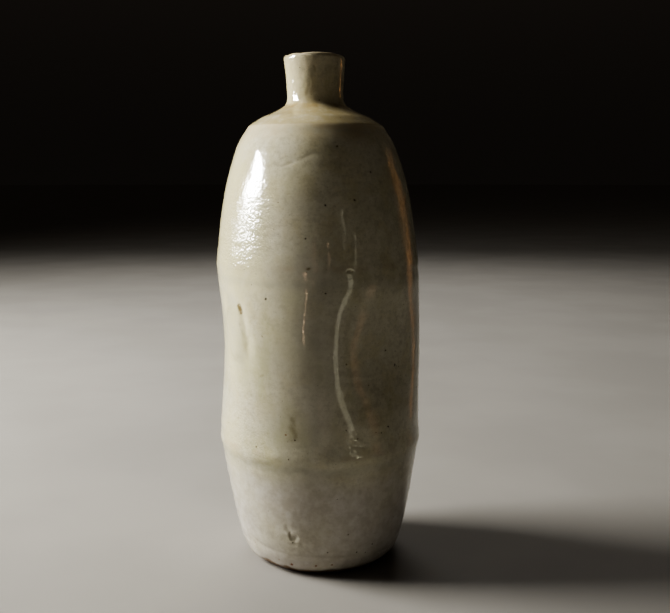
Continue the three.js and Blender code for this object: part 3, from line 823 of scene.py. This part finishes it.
# ---- stage ------------------------------------------------------------------------
floor_mesh = bpy.data.meshes.new("studio_floor")
ring = 96
radii = [0.0, 0.25, 0.6, 1.2, 2.4, 5.0, 12.0]
fv = [(0, 0, 0)] + [(r * math.cos(2 * math.pi * i / ring), r * math.sin(2 * math.pi * i / ring), 0) for r in radii[1:] for i in range(ring)]
ff = [(0, 1 + i, 1 + (i + 1) % ring) for i in range(ring)]
for q in range(len(radii) - 2):
    for i in range(ring):
        a, b = 1 + q * ring + i, 1 + q * ring + (i + 1) % ring
        ff.append((a, a + ring, b + ring, b))
floor_mesh.from_pydata(fv, [], ff)
floor = bpy.data.objects.new("studio_floor", floor_mesh)
bpy.context.scene.collection.objects.link(floor)
f = Nodes("studio_floor")
shade = f.new("ShaderNodeBsdfPrincipled")
fp = f.new("ShaderNodeTexCoord").outputs["Object"]
f.put(shade.inputs["Base Color"], f.mix(f.ramp(f.noise(fp, 9, 3), 0.35, 0.65), (0.298, 0.285, 0.266), (0.318, 0.304, 0.284)))
shade.inputs["Roughness"].default_value = 0.85
shade.inputs["Specular IOR Level"].default_value = 0.15
f.put(f.new("ShaderNodeOutputMaterial").inputs[0], shade.outputs[0])
floor_mesh.materials.append(f.material)

world = bpy.data.worlds.new("studio")
bpy.context.scene.world = world
world.use_nodes = True
# a dim studio: dark at the horizon, softly brighter overhead
backdrop = world.node_tree.nodes["Background"]
direction = world.node_tree.nodes.new("ShaderNodeTexCoord")
split = world.node_tree.nodes.new("ShaderNodeSeparateXYZ")
world.node_tree.links.new(direction.outputs["Generated"], split.inputs[0])
rise = world.node_tree.nodes.new("ShaderNodeMapRange")
rise.interpolation_type = "SMOOTHSTEP"
for key, value in (("From Min", 0.0), ("From Max", 0.55), ("To Min", 0.013), ("To Max", 0.034)):
    rise.inputs[key].default_value = value
world.node_tree.links.new(split.outputs[2], rise.inputs["Value"])
backdrop.inputs[0].default_value = (1.0, 0.86, 0.72, 1)
world.node_tree.links.new(rise.outputs[0], backdrop.inputs[1])


def area_light(name, at_point, look, size, power, colour, diffuse=True, glossy=True):
    data = bpy.data.lights.new(name, "AREA")
    data.shape = "RECTANGLE"
    data.size, data.size_y = size
    data.energy = power
    data.color = colour
    light = bpy.data.objects.new(name, data)
    light.location = at_point
    direction = Vector(look) - Vector(at_point)
    light.rotation_mode = "QUATERNION"
    light.rotation_quaternion = direction.to_track_quat("-Z", "Y")
    light.visible_camera = False
    light.visible_diffuse = diffuse
    light.visible_glossy = glossy
    bpy.context.scene.collection.objects.link(light)
    return light


MIDDLE = (0.0, 0.0, 0.12)


def towards(azimuth, elevation, distance, z=0.0):
    """A point at a distance from the bottle's middle line, in a direction seen from height z."""
    a, e = math.radians(azimuth), math.radians(elevation)
    return (distance * math.cos(e) * math.sin(a), -distance * math.cos(e) * math.cos(a), z + distance * math.sin(e))


# the main soft light, from the left and a little behind
area_light("main_soft", towards(-98.5, 28, 1.08, 0.15), (0, 0, 0.14), (0.50, 0.42), 24.4, (1.0, 0.985, 0.925), glossy=False)
# what the glaze reflects of it: a window of two panes
SHOULDER = (-0.028, -0.033, 0.163)     # the place on the glaze that mirrors it
for pane, (left, right, low, high, strength) in enumerate((
        (-97, -81, 24.0, 28.5, 125), (-97, -77, 18.5, 24.0, 125), (-97, -80, 14.0, 18.5, 120),
        (-102, -87, 9.5, 14.0, 95), (-105, -95, 6.0, 9.5, 45))):
    reach = 1.08
    spot_at = towards((left + right) / 2, (low + high) / 2, reach)
    size = (2 * reach * math.tan(math.radians(right - left) / 2), 2 * reach * math.tan(math.radians(high - low) / 2))
    area_light("window_pane_%d" % pane, tuple(a + b for a, b in zip(SHOULDER, spot_at)), SHOULDER, size,
               strength * math.pi * size[0] * size[1], (0.97, 0.985, 1.0), diffuse=False)
# narrow lights that draw the long reflections down the glaze
area_light("slit_pale", (0.134, -0.203, 0.078), (0, 0, 0.078), (0.027, 0.114), 0.0122, (1.0, 0.98, 0.74), diffuse=False)
area_light("slit_pale_end", (0.134, -0.203, 0.015), (0, 0, 0.015), (0.023, 0.012), 0.0006, (1.0, 0.98, 0.74), diffuse=False)
area_light("slit_pale_low", (0.136, -0.171, 0.009), (0.0158, -0.0424, 0.0567), (0.020, 0.012), 0.0026, (1.0, 0.98, 0.74), diffuse=False)
area_light("slit_pale_upper", (0.151, -0.187, 0.163), (0.015, -0.041, 0.143), (0.008, 0.044), 0.0012, (1.0, 0.95, 0.72), diffuse=False)
area_light("slit_pale_top", (0.108, -0.211, 0.200), (0.0105, -0.0425, 0.154), (0.008, 0.036), 0.0011, (1.0, 0.95, 0.72), diffuse=False)
area_light("slit_rose", (-0.051, -0.240, 0.104), (0, 0, 0.104), (0.0034, 0.068), 0.0048, (1.0, 0.66, 0.44), diffuse=False)
area_light("slit_rose_upper", (-0.015, -0.245, 0.166), (0, 0, 0.166), (0.0036, 0.044), 0.0013, (1.0, 0.62, 0.42), diffuse=False)
area_light("slit_rose_middle", (0.049, -0.236, 0.174), (0.0049, -0.044, 0.143), (0.006, 0.009), 0.00045, (1.0, 0.62, 0.42), diffuse=False)
area_light("slit_faint", (0.024, -0.245, 0.011), (0, 0, 0.011), (0.0020, 0.018), 0.00058, (1.0, 0.68, 0.50), diffuse=False)
area_light("slit_amber", (0.283, 0.155, 0.200), (0, 0, 0.200), (0.007, 0.180), 0.0240, (1.0, 0.47, 0.18), diffuse=False)
area_light("slit_amber_low", (0.283, 0.155, 0.055), (0, 0, 0.055), (0.010, 0.110), 0.0056, (1.0, 0.40, 0.13), diffuse=False)
area_light("glow_amber", towards(60, -11, 0.34, 0.10), (0, 0, 0.10), (0.05, 0.11), 0.0080, (1.0, 0.50, 0.24), diffuse=False)
# soft fill from the front right, and soft light for the back
area_light("fill", (0.75, -0.95, 0.75), MIDDLE, (1.2, 1.2), 0.10, (1.0, 0.88, 0.74), glossy=False)
area_light("back_soft", towards(178, 35, 1.3, 0.12), MIDDLE, (0.8, 0.8), 5.0, (1.0, 0.985, 0.96), glossy=False)

bpy.context.scene.view_settings.view_transform = "AgX"
bpy.context.scene.view_settings.look = "AgX - High Contrast"
